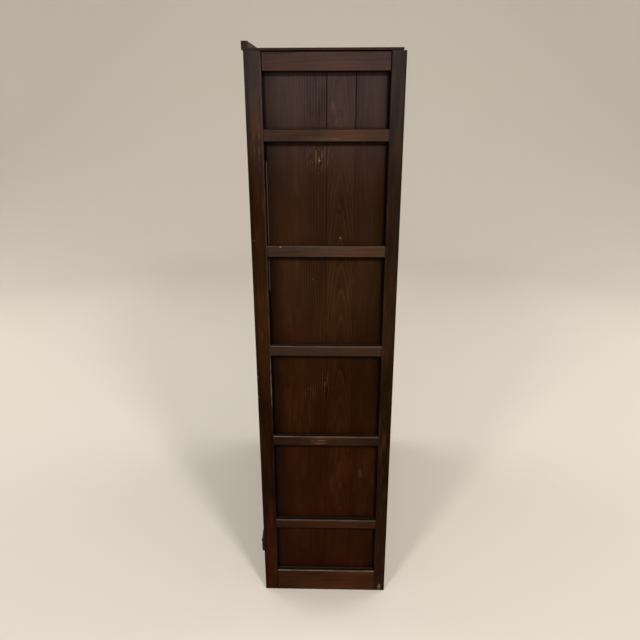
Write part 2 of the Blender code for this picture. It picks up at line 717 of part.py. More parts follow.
def build_drawer(front_material, box_material):
    half_width = CLEAR_WIDTH / 2 - DRAWER_SIDE_PLAY
    inner = half_width - DRAWER_WALL
    front_back = DRAWER_SETBACK + DRAWER_FRONT_THICKNESS
    side_front = DRAWER_SETBACK + DRAWER_LAP + FIT
    rear = BACK_WALL_FRONT - DRAWER_BACK_GAP
    front_heights = (FOOT_LEVEL[1] + DRAWER_PLAY, LOWER_LEVEL[0] - DRAWER_PLAY)
    side_heights = (FOOT_LEVEL[1] + FIT, front_heights[1] - DRAWER_SIDE_DROP)
    bottom_low = side_heights[0] + DRAWER_BOTTOM_RAISE
    bottom_heights = (bottom_low, bottom_low + DRAWER_BOTTOM_THICKNESS)
    groove_heights = (bottom_heights[0] - FIT, bottom_heights[1] + FIT)

    front = block("drawer_front", centred_span(half_width, (DRAWER_SETBACK, front_back), front_heights),
                  front_material)
    laps = []
    for side in SIDE_NAMES:
        across = tuple(sorted((side * (inner - FIT), side * (half_width + OVERCUT))))
        laps.append((across, (y_at(side_front - FIT), y_at(front_back + OVERCUT)),
                     (front_heights[0] - OVERCUT, front_heights[1] + OVERCUT)))
    cut(front, box_tool("drawer_laps", laps))
    cut(front, box_tool("drawer_front_groove", [
        centred_span(inner + OVERCUT, (front_back - DRAWER_GROOVE, front_back + OVERCUT), groove_heights)]))

    sides = []
    for side, side_name in SIDE_NAMES.items():
        across = tuple(sorted((side * inner, side * half_width)))
        wall = block(f"drawer_side_{side_name}", (across, (y_at(side_front), y_at(rear)), side_heights),
                     box_material)
        groove = tuple(sorted((side * (inner - OVERCUT), side * (inner + DRAWER_GROOVE))))
        cut(wall, box_tool(f"drawer_groove_{side_name}", [
            (groove, (y_at(side_front - OVERCUT), y_at(rear + OVERCUT)), groove_heights)]))
        sides.append(wall)

    back_heights = (bottom_heights[1] + FIT, side_heights[1])
    back = block("drawer_back", centred_span(inner - FIT, (rear - DRAWER_WALL, rear), back_heights),
                 box_material)
    bottom = block("drawer_bottom",
                   centred_span(inner + DRAWER_GROOVE - FIT, (front_back - DRAWER_GROOVE + FIT, rear),
                                bottom_heights), box_material)
    corners = []
    for side in SIDE_NAMES:
        across = tuple(sorted((side * (inner - FIT), side * (half_width + OVERCUT))))
        corners.append((across, (y_at(side_front - OVERCUT), y_at(front_back + FIT)),
                        (bottom_heights[0] - OVERCUT, bottom_heights[1] + OVERCUT)))
    cut(bottom, box_tool("drawer_bottom_corners", corners))
    return [front, back, bottom, *sides]


def pull_axis(side):
    """Middle of a pull's hinge axis."""
    height = FOOT_LEVEL[1] + PULL_HEIGHT
    return Vector((x_at(side, PULL_INSET), y_at(-BAIL_AXIS_AHEAD), height))


def build_pull_plate(side, material):
    """A long back plate with two ears that the bail hangs in."""
    name = f"drawer_pull_plate_{SIDE_NAMES[side]}"
    axis = pull_axis(side)
    face = y_at(DRAWER_SETBACK) - FIT
    half_length = EAR_SPREAD + PLATE_MARGIN
    plate = block(name, ((axis.x - half_length, axis.x + half_length), (face - PLATE_THICKNESS, face),
                         (axis.z - PLATE_HEIGHT / 2, axis.z + PLATE_HEIGHT / 2)), material)

    def weight_of(direction, middle):
        return 1.0 if runs_along(direction, Y) else 0.0

    round_edges(plate, PLATE_ROUND, PLATE_ROUND_STEPS, weight_of)

    ears = [axis + Vector((end * EAR_SPREAD, 0.0, 0.0)) for end in (-1, 1)]
    stem = EAR_WIDTH / 2 - EAR_STEM_INSET
    stems = [((ear.x - stem, ear.x + stem), (axis.y, face - PLATE_THICKNESS / 2),
              (axis.z - EAR_RADIUS + EAR_STEM_INSET, axis.z + EAR_RADIUS - EAR_STEM_INSET)) for ear in ears]
    combine(plate, box_tool(f"{name}_stems", stems), 'UNION')
    combine(plate, rod_tool(f"{name}_knuckles", ears, EAR_RADIUS, EAR_WIDTH, X), 'UNION')
    cut(plate, rod_tool(f"{name}_eyes", ears, ROD_DIAMETER / 2 + FIT, EAR_WIDTH + 2 * OVERCUT, X))
    return plate


def bail_path():
    """Points of the bail around its axis, from one pin's end to the other's."""
    arm = EAR_SPREAD + EAR_WIDTH / 2 + BAIL_GAP + ROD_DIAMETER / 2
    pin_end = EAR_SPREAD - EAR_WIDTH / 2 - PIN_PAST_EAR
    elbow = ROD_DIAMETER / 2
    points = [Vector((pin_end, 0.0, 0.0)), Vector((arm - elbow, 0.0, 0.0)), Vector((arm, 0.0, -elbow))]
    for step in range(BAIL_CORNER_POINTS):
        angle = math.pi / 2 * step / (BAIL_CORNER_POINTS - 1)
        points.append(Vector((arm - BAIL_CORNER * (1 - math.cos(angle)), 0.0,
                              -BAIL_DROP + BAIL_CORNER * (1 - math.sin(angle)))))
    bar = arm - BAIL_CORNER
    for step in range(1, BAIL_BAR_POINTS):
        points.append(Vector((bar * (1 - step / BAIL_BAR_POINTS), 0.0, -BAIL_DROP)))
    for point in points:
        lowered = -point.z / BAIL_DROP
        point.y = -BAIL_BOW * lowered * (1 - (point.x / arm) ** 2)
    mirrored = [Vector((-point.x, point.y, point.z)) for point in reversed(points)]
    return points + [Vector((0.0, -BAIL_BOW, -BAIL_DROP))] + mirrored


def build_bail(side, material):
    name = f"drawer_bail_{SIDE_NAMES[side]}"
    curve = bpy.data.curves.new(name, 'CURVE')
    curve.dimensions = '3D'
    curve.bevel_depth = ROD_DIAMETER / 2
    curve.bevel_resolution = ROD_ROUNDNESS
    curve.use_fill_caps = True
    path = bail_path()
    spline = curve.splines.new('POLY')
    spline.points.add(len(path) - 1)
    for point, place in zip(spline.points, path):
        point.co = (*place, 1.0)
    bail = bpy.data.objects.new(name, curve)
    bail.location = pull_axis(side)
    bail.data.materials.append(material)
    PARTS.objects.link(bail)
    return bail


def build_guides(material):
    """Strips on the bottom board that fill the space between the side walls and the drawer."""
    for side, side_name in SIDE_NAMES.items():
        block(f"drawer_guide_{side_name}",
              span(side, (WALL_INNER + FIT, POST_WIDTH), (BOARD_FRONT, REAR_POST_FRONT - FIT),
                   (FOOT_LEVEL[1] + FIT, FOOT_LEVEL[1] + FIT + GUIDE_HEIGHT)), material)


def main():
    frame_wood = new_material("stained_frame", STAIN_FRAME, LACQUER_ROUGHNESS)
    wall_wood = new_material("stained_boards", STAIN_WALL, LACQUER_ROUGHNESS)
    door_wood = new_material("stained_doors", STAIN_DOOR, LACQUER_ROUGHNESS)
    raw_wood = new_material("raw_boards", RAW_BOARD, RAW_ROUGHNESS)
    iron = new_material("black_iron", IRON_BLACK, IRON_ROUGHNESS, metallic=1.0)

    build_posts(frame_wood)
    build_side_rails(frame_wood)
    build_side_walls(wall_wood)
    build_front_rails(frame_wood)
    build_back(raw_wood, frame_wood)
    build_level_boards(raw_wood)
    build_top(wall_wood, frame_wood)
    build_guides(raw_wood)
    build_doors(door_wood, wall_wood, iron)

    drawer_pieces = build_drawer(door_wood, raw_wood)
    plates = [build_pull_plate(side, iron) for side in SIDE_NAMES]
    bails = [build_bail(side, iron) for side in SIDE_NAMES]
    carrier = moving_group("drawer_slide", (0.0, y_at(DRAWER_SETBACK), FOOT_LEVEL[1]))
    carry(carrier, [*drawer_pieces, *plates, *bails])


clear_scene()
PARTS = new_collection("kitchen_tansu")
CUTTERS = new_collection("kitchen_tansu_cutters")
main()
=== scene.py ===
"""Looks of the kitchen tansu: stained and worn wood, iron fittings, studio light and camera.

Metres, +Z up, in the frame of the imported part: the front faces -Y and the photographed side is +X.
A ramp is a smooth step: where it starts and ends, then its values there, unless these are 0 and 1.
Cells are counts of noise cells per metre: along x, y and z, or along the grain and twice across it.
"""
import math
from collections import namedtuple

import bmesh
import bpy
from mathutils import Matrix, Vector


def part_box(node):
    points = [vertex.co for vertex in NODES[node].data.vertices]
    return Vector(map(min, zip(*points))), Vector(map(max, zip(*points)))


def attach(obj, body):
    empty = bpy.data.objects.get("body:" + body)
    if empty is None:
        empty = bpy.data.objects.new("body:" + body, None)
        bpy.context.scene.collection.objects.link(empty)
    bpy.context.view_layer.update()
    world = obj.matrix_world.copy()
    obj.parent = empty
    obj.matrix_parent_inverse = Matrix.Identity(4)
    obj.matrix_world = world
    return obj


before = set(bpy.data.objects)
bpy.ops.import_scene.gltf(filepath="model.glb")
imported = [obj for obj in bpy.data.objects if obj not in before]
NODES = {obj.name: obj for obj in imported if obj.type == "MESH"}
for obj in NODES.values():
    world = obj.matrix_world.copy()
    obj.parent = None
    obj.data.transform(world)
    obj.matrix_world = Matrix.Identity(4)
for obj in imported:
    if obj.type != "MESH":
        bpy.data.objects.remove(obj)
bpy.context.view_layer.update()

# Shapes
SEAMS = (0.01625, 0.08425)      # joints between the boards of the side walls
STILE_WIDTH = 0.044             # of the doors' frames
PLATE_THICKNESS = 0.0025        # of the drawer's pull plates
NAIL_PLACES = (-0.1015, 0.0, 0.1015)    # along each pull plate, from its middle
NAIL_RADIUS = 0.0032
NAIL_HEIGHT = 0.0017
NAIL_RINGS = 5
NAIL_SIDES = 20
NAIL_SPREAD = 0.06              # how much the heads differ in size
NAIL_SPREAD_TURN = 3.0          # radians from one head to the next
NAIL_BULGE = 0.05               # how far the heads are out of round
NAIL_BULGE_TURN = 90.0          # radians for each metre across
EDGE_EASE = 0.0009              # rounding of the wooden pieces' edges
IRON_EASE = 0.0004
EASE_SEGMENTS = 2
EASE_ANGLE = math.radians(40)   # edges sharper than this are rounded
WELD_DISTANCE = 0.00002
UNEASED = ("bail", "side_wall")     # round rods, and boards whose edges lie in grooves

# Camera of the photograph, placed from the middle of the photographed side's floor line
CAMERA_OUT = 1.4545             # ahead of the side's outer face
CAMERA_ASIDE = 0.0367           # towards the back
CAMERA_HEIGHT = 1.4344
CAMERA_PITCH = math.radians(20.16)
CAMERA_YAW = math.radians(1.48)
CAMERA_ROLL = math.radians(-0.17)
CAMERA_LENS = 33.33
CAMERA_SENSOR = 36.0

# Stain colours and the heights where they hold, with a painted sheen: paler and greyer above, darker below
PANEL_STAIN_AND_SHEEN = (
    (0.40, (0.0205, 0.0044, 0.0001)), (0.68, (0.0202, 0.0053, 0.0001)), (1.02, (0.0268, 0.0106, 0.0036)),
    (1.18, (0.0240, 0.0095, 0.0041)), (1.50, (0.0412, 0.0272, 0.0252)))
FRONT_POST_STAIN_AND_SHEEN = (
    (0.14, (0.0240, 0.0050, 0.0001)), (0.55, (0.0132, 0.0025, 0.0001)), (0.82, (0.0235, 0.0082, 0.0018)),
    (1.20, (0.0172, 0.0056, 0.0015)), (1.52, (0.0372, 0.0255, 0.0231)))
REAR_POST_STAIN_AND_SHEEN = (
    (0.12, (0.0158, 0.0049, 0.0010)), (0.50, (0.0090, 0.0028, 0.0005)), (0.84, (0.0192, 0.0086, 0.0032)),
    (1.20, (0.0144, 0.0080, 0.0044)), (1.52, (0.0230, 0.0182, 0.0168)))
RAIL_STAIN_AND_SHEEN = (
    (0.08, (0.0390, 0.0128, 0.0038)), (0.45, (0.0190, 0.0078, 0.0034)), (1.09, (0.0400, 0.0236, 0.0154)),
    (1.38, (0.0370, 0.0210, 0.0155)), (1.52, (0.0400, 0.0243, 0.0215)))
POST_STAINS_AND_SHEEN = {"front": FRONT_POST_STAIN_AND_SHEEN, "rear": REAR_POST_STAIN_AND_SHEEN}

# Other colours
WARM_STAIN = (0.046, 0.0150, 0.0050)    # where rubbing has let the wood's own colour through
# A dark colour for grime, and for painted shade on the side walls
GRIME_AND_SHADE = (0.0022, 0.0010, 0.0005)
BARE_WOOD = (0.110, 0.066, 0.038)
WORN_WOOD = (0.105, 0.051, 0.028)
# Pale colour of polished edges, which also paints a highlight on them
POLISHED_EDGE_AND_HIGHLIGHT = (0.128, 0.100, 0.082)
LEDGE_DARK = (0.0070, 0.0030, 0.0014)
DUST = (0.060, 0.050, 0.044)
PAINT_SPECK = (0.240, 0.180, 0.140)
SHRUNK_EDGE = (0.066, 0.054, 0.050)     # unstained wood that shrinkage has drawn out of a groove
CHIPPED_WOOD = (0.180, 0.100, 0.068)
RAW_LIGHT = (0.215, 0.135, 0.078)
RAW_DARK = (0.098, 0.055, 0.030)
IRON = (0.010, 0.008, 0.007)
RUST = (0.034, 0.015, 0.008)

# Figure of the wood: lines of late wood, fibres, blotches and streaks
Figure = namedtuple("Figure", "late fibre blotch streak")
FIGURE_MIDDLES = Figure(0.25, 0.50, 0.50, 0.50)     # the mean of each
BLOTCH_STRENGTH = 1.10
RUBBED_STREAKS = 0.7            # share of the streaks in where the stain is rubbed thin
RUBBED_RAMP = (0.50, 0.78)
NOISE_STEPS = (0.137, 0.311, 0.523)     # these spread the pieces over the noise
NOISE_SPANS = (7.0, 5.0, 3.0)
NOISE_MIDDLE = (0.5, 0.5, 0.5)
GRAIN_ORDER = {"X": (0, 1, 2), "Y": (1, 0, 2), "Z": (2, 0, 1)}      # axes along the grain and across it
ACROSS_GRAIN = (0.0, 1.0, 1.0)
DRIFT_CELLS = (2.2, 8.0, 8.0)
FIBRE_CELLS = (14.0, 420.0, 420.0)
BLOTCH_CELLS = (5.0, 17.0, 17.0)
STREAK_CELLS = (13.0, 105.0, 105.0)
LATE_SHARPNESS = 3.0
RING_WANDER = 0.012             # how far the rings stray
RING_TAPER = 0.012              # how fast they widen along the grain
FRAME_RING_PITCH = 0.0052
FRAME_PITH = (-0.07, 0.05)      # across, from a piece's middle
PANEL_RING_PITCH = 0.0045
PANEL_PITH = (0.03, 0.05)
PANEL_WANDER = 0.016
PANEL_TAPER = 0.02
RAW_RING_PITCH = 0.0060
RAW_SHARES = Figure(0.42, 0.40, 0.90, 0.40)     # how much each darkens raw wood
RAW_OFFSET = -0.55
BACK_PITHS = ((0.05, -0.29), (0.12, 0.16), (0.07, 0.25))        # before the back's face, and across
BACK_WANDER = 0.025
BACK_TAPER = 0.02
BACK_TONES = (0.05, -0.06, 0.02)

# Figure of the side walls, for the front, middle and rear board, and ramps of where their grain lines show
WALL_RING_PITCH = 0.0066
WALL_PITHS = ((0.035, 0.26), (0.0169, 0.0635), (0.065, 0.16))   # behind the wall's face, and across
WALL_WANDER = (0.014, 0.011, 0.014)
WALL_TAPER = (0.022, 0.090, 0.020)      # the middle board is cut so that its rings show as flames
WALL_TONES = (0.92, 1.04, 0.89)
FLAME_LEAN = 0.0125
DARK_LINE_STRENGTHS = (1.05, 0.75, 1.05)
DARK_LINES = (1.20, 1.36)               # by height
PALE_LINES = (0.10, 0.40, 0.15, 0.58)
LINED_FROM = (-0.085, -0.050, 0.10, 1.0)    # across
LINED_TO = (SEAMS[1], SEAMS[1] + 0.006, 1.0, 0.30)

# Surfaces; unevenness is how much roughness the figure adds, and grain is relief
LACQUER_ROUGHNESS = 0.38
LACQUER_UNEVENNESS = 0.16
BARE_ROUGHNESS = 0.32           # added where the lacquer has gone
LACQUER_SPECULAR = 0.03
LACQUER_GRAIN = (0.4, 0.25, 0.0003)     # share of the late wood, strength and depth
RAW_ROUGHNESS = 0.70
RAW_UNEVENNESS = 0.16
RAW_SPECULAR = 0.25
RAW_GRAIN = (0.5, 0.35, 0.0004)
IRON_ROUGHNESS = 0.38
IRON_UNEVENNESS = 0.15
IRON_SPECULAR = 0.5
IRON_METALLIC = 0.5
HAMMER_CELLS = (160.0, 160.0, 160.0)
HAMMER_RELIEF = (0.35, 0.0006)
RUST_CELLS = (45.0, 45.0, 45.0)
RUST_RAMP = (0.52, 0.72, 0.0, 0.7)
RUST_ROUGHNESS = 0.2

# Rubbed edges of the frame, and how bare they are on each kind of piece
EDGE_WEAR = {"post": 0.05, "side_rail": 0.06, "cross_rail": 0.20, "lattice": 0.25, "door": 0.30}
EDGE_PATCH_CELLS = (55.0, 55.0, 40.0)
EDGE_RUB_REACH = 0.0042
EDGE_RUB = (0.0, -0.0014)
RUB_CELLS = (45.0, 160.0, 160.0)
RUB_DASHES = (0.36, 0.52)
RUB_LINES = (0.02, 0.45)

# Wear, grime and a painted highlight of the posts, by the distance from an edge or a face, or by height
POST_EDGE_REACH = {"front": 0.0200, "rear": 0.0070}
POST_EDGE_GRIME = 0.42
POST_FACE = (0.0030, 0.0005)
POST_ARRIS = (0.0034, 0.0012)
POST_ARRIS_CELLS = (60.0, 60.0, 34.0)
POST_ARRIS_PATCHES = (0.35, 0.60, 0.2, 1.0)
POST_ARRIS_WEAR_AND_HIGHLIGHT = (0.55, 0.85, 0.01, 0.15)
HELD_AND_HIGHLIT_HEIGHTS = (0.635, 0.655, 0.770, 0.800)     # where hands have caught the front posts' inner edge, which also has a painted highlight
HELD_WEAR_AND_HIGHLIGHT = 0.75
LOW_EDGE = (0.0140, 0.0030)
LOW_EDGE_HEIGHTS = (0.60, 0.50)
LOW_EDGE_GRIME = 0.45

# Wear of the side rails, from the top one down; their upper outer edges carry a painted highlight with the
# wear
ARRIS_WEAR_AND_HIGHLIGHT = (0.0, 0.0, 0.36, 0.52, 0.68, 0.54, 1.0)
JOINT_GRIME = (1.0, 0.25, 0.20, 0.20, 0.20, 0.20, 0.20)
LEDGE_DUST = (0.0, 0.10, 0.40, 0.45, 0.30, 0.30, 0.55)
RAIL_LEAN = (0.12, 0.16, 0.18, 0.04, 0.22, 0.18, 0.20)      # how much darker they are at the front end
RAIL_COUNT = len(RAIL_LEAN)
LEAN_FRONT = (-0.135, 0.075)
LEAN_FRONT_SHARE = 1.3
LEAN_REAR = (0.135, 0.080)      # they darken a little at the rear end too
JOINT_LINE = (0.0038, 0.0018)
LEDGE = (0.0022, 0.0006)
LEDGE_DARKENING = 0.92
RAIL_ARRIS = (0.0036, 0.0018)
RAIL_ARRIS_CELLS = (30.0, 16.0, 160.0)
RAIL_ARRIS_STREAKS = (0.30, 0.62)
RAIL_ARRIS_LEAST = 0.45         # share of the wear and painted highlight between the streaks
DUST_STRIP = (0.0050, 0.0010)
DUST_LEAST = 0.02

# Painted shade in the six fields between the rails, below and above the rails and beside the posts: a ramp,
# and each field's strength from the lowest up
UNDER_RAIL_SHADE = ((1.0, 0.7), (0.50, 0.60, 0.58, 0.52, 0.42, 0.0))
ABOVE_RAIL_SHADE = ((0.0050, 0.0010), (0.40, 0.40, 0.40, 0.0, 0.0, 0.15))
REAR_SHADE = ((0.0320, 0.0060), (0.0, 0.0, 0.42, 0.42, 0.35, 0.35))
FRONT_CORNER_SHADE = ((0.0090, 0.0030), (0.92, 0.92, 0.92, 0.92, 0.92, 0.70))
FRONT_SHADE = ((0.0520, 0.0040), (0.22, 0.68, 0.74, 0.78, 0.48, 0.44))
UNDER_RAIL_REACH = (0.30, 1.30, 0.0190, 0.0130)     # by height, how far the painted shadow under the rails reaches; the ramp under the rails is a share of it
UNDER_RAIL_CORNER_SHADE = (0.0060, 0.0020, 0.0, 0.80)     # painted shade, as is the next; both are the same in all fields
REAR_CORNER_SHADE = (0.0115, 0.0040, 0.0, 0.92)
# Grime in the joints between the wall's boards
SEAM_LINE = (0.0019, 0.0007)
SEAM_GRIME = 0.85               # in the top field; the lower fields' joints are tight

# Wear of the doors and the cross rails
DOOR_JOINT = (0.0014, 0.0005, 0.0, 0.75)
HANDLED_REACH = (0.040, 0.040, 0.085)   # around the doors' pulls
HANDLED_WARMTH = 0.45
HANDLED_POLISH = -0.225         # counts against bare wood, so that the place is glossier
END_GRIME = (0.0030, 0.0008, 0.0, 0.50)

# Marks of the photographed side: place across and up, half width and half height, and a strength
WORN_STREAKS = (
    (0.020, 1.3920, 0.075, 0.016, 0.45), (-0.004, 1.310, 0.044, 0.050, 1.0),
    (0.0125, 0.708, 0.016, 0.050, 0.7), (-0.028, 0.688, 0.032, 0.050, 0.35))
SCRATCHES = ((0.0310, 1.4228, 0.010, 0.022, 0.55), (0.1140, 0.4193, 0.010, 0.024, 0.40))
KNOT = (0.0473, 1.1814, 0.012, 0.013, 0.50)
FRAME_RUBS = {
    "side_rail_right_2": (0.026, 1.3485, 0.052, 0.015, 0.80),
    "side_rail_right_5": (-0.006, 0.5365, 0.031, 0.022, 1.00),
    "post_front_right": (-0.147, 1.3450, 0.030, 0.090, 0.35),
}
FOOT_CHIP = (0.1804, 0.0150, 0.0070, 0.0170)
POST_NICKS = (
    (-0.1651, 1.1096, 0.005, 0.0016), (-0.1714, 0.7340, 0.003, 0.006), (-0.1710, 0.6730, 0.003, 0.006))
SPECKS = ((-0.0013, 1.3033, 0.0027), (0.0501, 1.1145, 0.0027), (-0.0190, 1.0071, 0.0014))   # with one size
LEDGE_BITS = ((-0.1277, 1.0980, 0.0026), (-0.0994, 1.0945, 0.0032))
SHRUNK_STRIPS = (               # place across, and the heights of a window
    (-0.1298, 1.0880, 1.0980, 1.2950, 1.3050), (-0.1310, 0.9700, 0.9800, 1.0550, 1.0650))
SOILED_STRETCHES = {            # height, half height and strength
    "post_front_right": ((0.36, 0.11, 0.64), (0.63, 0.10, 0.25)),
    "post_rear_right": ((0.37, 0.10, 0.33), (0.71, 0.11, 0.45)),
}
MARK_DEPTH = 0.01
NICK_DEPTH = 0.004
FLECK_CELLS = (20.0, 170.0, 60.0)
DASHES = (0.40, 0.58)
SCUFFS = (0.36, 0.62, 0.40, 1.0)
WORN_LINES = (0.05, 0.60)
STRIP_LINE = (0.0014, 0.0007)
CHIP_CELLS = (260.0, 260.0, 260.0)
CHIP_SPLINTERS = (0.25, 0.6)
CHIP_EDGE = (0.1, 0.6)

# Studio
FLOOR_COLOUR = (0.70, 0.665, 0.62)
FLOOR_ROUGHNESS = 0.75
FLOOR_SPECULAR = 0.2
FLOOR_SHADE = 0.9               # the darkest tone of its faint clouds
FLOOR_CELLS = (3.0, 3.0, 3.0)
FLOOR_CLOUDS = (0.3, 0.7, 0.0, 0.06)
STAGE_RADIUS = 5.2              # round backdrop, all about the object
COVE_RADIUS = 1.6
COVE_STEPS = 20
STAGE_STEPS = 96
WALL_HEIGHT = 4.2
WORLD_COLOUR = (0.80, 0.76, 0.71)
WORLD_STRENGTH = 0.50
LIGHT_COLOUR = (1.0, 0.95, 0.88)
LIGHT_TARGET = (0.2, 0.0, 0.75)
KEY_SIZE = 0.5
KEY_OUT = 2.62
KEY_ASIDE = 1.2
KEY_HEIGHT = 3.13
KEY_POWERS = {"rear": 63.0, "front": 45.0}
FILL_SIZE = 3.0
FILL_OUT = -1.4
FILL_ASIDE = 3.4
FILL_HEIGHT = 2.7
FILL_POWER = 70.0
LIGHT_SIDES = {"rear": 1, "front": -1}


class Shader:
    """A material's nodes: each call adds nodes and gives back an output."""

    def __init__(self, name):
        self.material = bpy.data.materials.new(name)
        self.material.use_nodes = True
        self.tree = self.material.node_tree
        self.surface = self.tree.nodes["Principled BSDF"]
        self.place = self.node("ShaderNodeTexCoord").outputs["Object"]
        self.axes = self.split(self.place)
        self.x, self.y, self.z = self.axes

    def feed(self, socket, value):
        """Link an output to a socket, or set the socket's own value."""
        if isinstance(value, bpy.types.NodeSocket):
            self.tree.links.new(value, socket)
        else:
            socket.default_value = value

    def node(self, kind, inputs=None, **settings):
        """Add a node with its settings, and feed its inputs by name or number."""
        node = self.tree.nodes.new(kind)
        for key, value in settings.items():
            setattr(node, key, value)
        for key, value in (inputs or {}).items():
            self.feed(node.inputs[key], value)
        return node

    def maths(self, operation, *values):
        """One operation on numbers."""
        node = self.node("ShaderNodeMath", dict(enumerate(values)), operation=operation)
        return node.outputs[0]

    def product(self, first, *others):
        """Numbers multiplied in turn."""
        for other in others:
            first = self.maths('MULTIPLY', first, other)
        return first

    def distance(self, value, place):
        """How far a number lies from a place, to either side."""
        return self.maths('ABSOLUTE', self.maths('SUBTRACT', value, place))

    def inset(self, value, start, end):
        """How far a number lies from the nearer end of a range that it is in."""
        gaps = (self.maths('SUBTRACT', value, start), self.maths('SUBTRACT', end, value))
        return self.maths('MINIMUM', *gaps)

    def vector(self, operation, *values):
        """One operation on vectors."""
        node = self.node("ShaderNodeVectorMath", dict(enumerate(values)), operation=operation)
        return node.outputs["Value" if operation == 'LENGTH' else "Vector"]

    def scaled(self, vector, factor):
        """A vector or a colour times a number."""
        node = self.node("ShaderNodeVectorMath", {0: vector, "Scale": factor}, operation='SCALE')
        return node.outputs["Vector"]

    def split(self, vector):
        """The three numbers of a vector."""
        return self.node("ShaderNodeSeparateXYZ", {0: vector}).outputs[:]

    def join(self, x, y, z):
        """A vector of three numbers."""
        return self.node("ShaderNodeCombineXYZ", {0: x, 1: y, 2: z}).outputs[0]

    def noise(self, vector, cells, detail=2.0, output="Fac"):
        """Noise with a count of cells per metre along each axis."""
        inputs = {"Vector": self.vector('MULTIPLY', vector, cells), "Scale": 1.0, "Detail": detail}
        return self.node("ShaderNodeTexNoise", inputs).outputs[output]

    def rise(self, value, start, end, low=0.0, high=1.0):
        """A smooth step from low at start to high at end."""
        inputs = {"Value": value, "From Min": start, "From Max": end, "To Min": low, "To Max": high}
        return self.node("ShaderNodeMapRange", inputs, interpolation_type='SMOOTHSTEP').outputs[0]

    def window(self, value, start, full, hold, end):
        """One from full to hold, falling to zero at start and end."""
        return self.maths('MULTIPLY', self.rise(value, start, full), self.rise(value, end, hold))

    def blend(self, factor, first, second):
        """A colour between two colours."""
        first = (*first, 1.0) if isinstance(first, tuple) else first
        second = (*second, 1.0) if isinstance(second, tuple) else second
        node = self.node("ShaderNodeMix", {0: factor, 6: first, 7: second}, data_type='RGBA')
        return node.outputs[2]

    def between(self, factor, first, second):
        """A number between two numbers."""
        return self.node("ShaderNodeMix", {0: factor, 2: first, 3: second}, data_type='FLOAT').outputs[0]

    def steps(self, value, edges, levels):
        """A number that jumps to the next level at each edge."""
        result = levels[0]
        for edge, before, after in zip(edges, levels, levels[1:]):
            past = self.maths('GREATER_THAN', value, edge)
            result = self.maths('MULTIPLY_ADD', past, after - before, result)
        return result

    def bump(self, height, strength, distance):
        """Relief of the surface."""
        inputs = {"Height": height, "Strength": strength, "Distance": distance}
        self.feed(self.surface.inputs["Normal"], self.node("ShaderNodeBump", inputs).outputs[0])

    def finish(self, colour, roughness, specular, metallic=0.0):
        """Feed the surface, and give back the material."""
        self.feed(self.surface.inputs["Base Color"], colour)
        self.feed(self.surface.inputs["Roughness"], roughness)
        self.surface.inputs["Specular IOR Level"].default_value = specular
        self.surface.inputs["Metallic"].default_value = metallic
        return self.material


def moved(shader, vector, name):
    """A vector moved to a piece's own place in the noise, which comes from the letters of its name."""
    number = sum(index * ord(letter) for index, letter in enumerate(name, start=1))
    own_place = tuple(number * step % span for step, span in zip(NOISE_STEPS, NOISE_SPANS))
    return shader.vector('ADD', vector, own_place)


def along_grain(shader, axis):
    """Object coordinates turned so that the first one runs along the grain."""
    return shader.join(*(shader.axes[index] for index in GRAIN_ORDER[axis]))


def wood_figure(shader, name, grain, pith, pitch, wander=RING_WANDER, taper=RING_TAPER):
    """Figure of a board: rings around a pith that runs along the grain, and noise of the board's own."""
    own = moved(shader, grain, name)
    drift = shader.vector('SUBTRACT', shader.noise(own, DRIFT_CELLS, output="Color"), NOISE_MIDDLE)
    swayed = shader.vector('ADD', grain, shader.scaled(drift, wander))
    around = shader.vector('MULTIPLY', shader.vector('SUBTRACT', swayed, pith), ACROSS_GRAIN)
    along = shader.split(swayed)[0]
    radius = shader.maths('MULTIPLY_ADD', along, taper, shader.vector('LENGTH', around))
    ring = shader.maths('FRACT', shader.maths('DIVIDE', radius, pitch))
    return Figure(
        late=shader.maths('POWER', ring, LATE_SHARPNESS),
        fibre=shader.noise(own, FIBRE_CELLS, detail=3.0),
        blotch=shader.noise(own, BLOTCH_CELLS, detail=6.0),
        streak=shader.noise(own, STREAK_CELLS, detail=3.0))


def straight_figure(shader, name, axis, pitch=FRAME_RING_PITCH):
    """Figure of a squared piece cut well away from the pith."""
    low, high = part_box(name)
    middle = (low + high) / 2
    across = [middle[index] + offset for index, offset in zip(GRAIN_ORDER[axis][1:], FRAME_PITH)]
    return wood_figure(shader, name, along_grain(shader, axis), (0.0, *across), pitch)


def edge_distance(shader, low, high):
    """How far a point of a box's face lies from the nearest edge of the box."""
    gaps = [shader.inset(value, start, end) for value, start, end in zip(shader.axes, low, high)]
    lesser = shader.maths('MINIMUM', gaps[0], gaps[1])
    greater = shader.maths('MAXIMUM', gaps[0], gaps[1])
    return shader.maths('MAXIMUM', lesser, shader.maths('MINIMUM', greater, gaps[2]))


def near(shader, centre, radii):
    """One at a place, falling to zero at the given radii around it."""
    offset = shader.vector('DIVIDE', shader.vector('SUBTRACT', shader.place, centre), radii)
    return shader.rise(shader.vector('LENGTH', offset), 1.0, 0.0)


def spot(shader, face, y, z, width, height, depth=MARK_DEPTH):
    """A mark's place on a face of the photographed side."""
    return near(shader, (face, y, z), (depth, width, height))


def stain_and_sheen_by_height(shader, colours):
    """The stain's colour at each height, with its painted sheen."""
    height, colour = colours[0]
    for next_height, next_colour in colours[1:]:
        colour = shader.blend(shader.rise(shader.z, height, next_height), colour, next_colour)
        height = next_height
    return colour


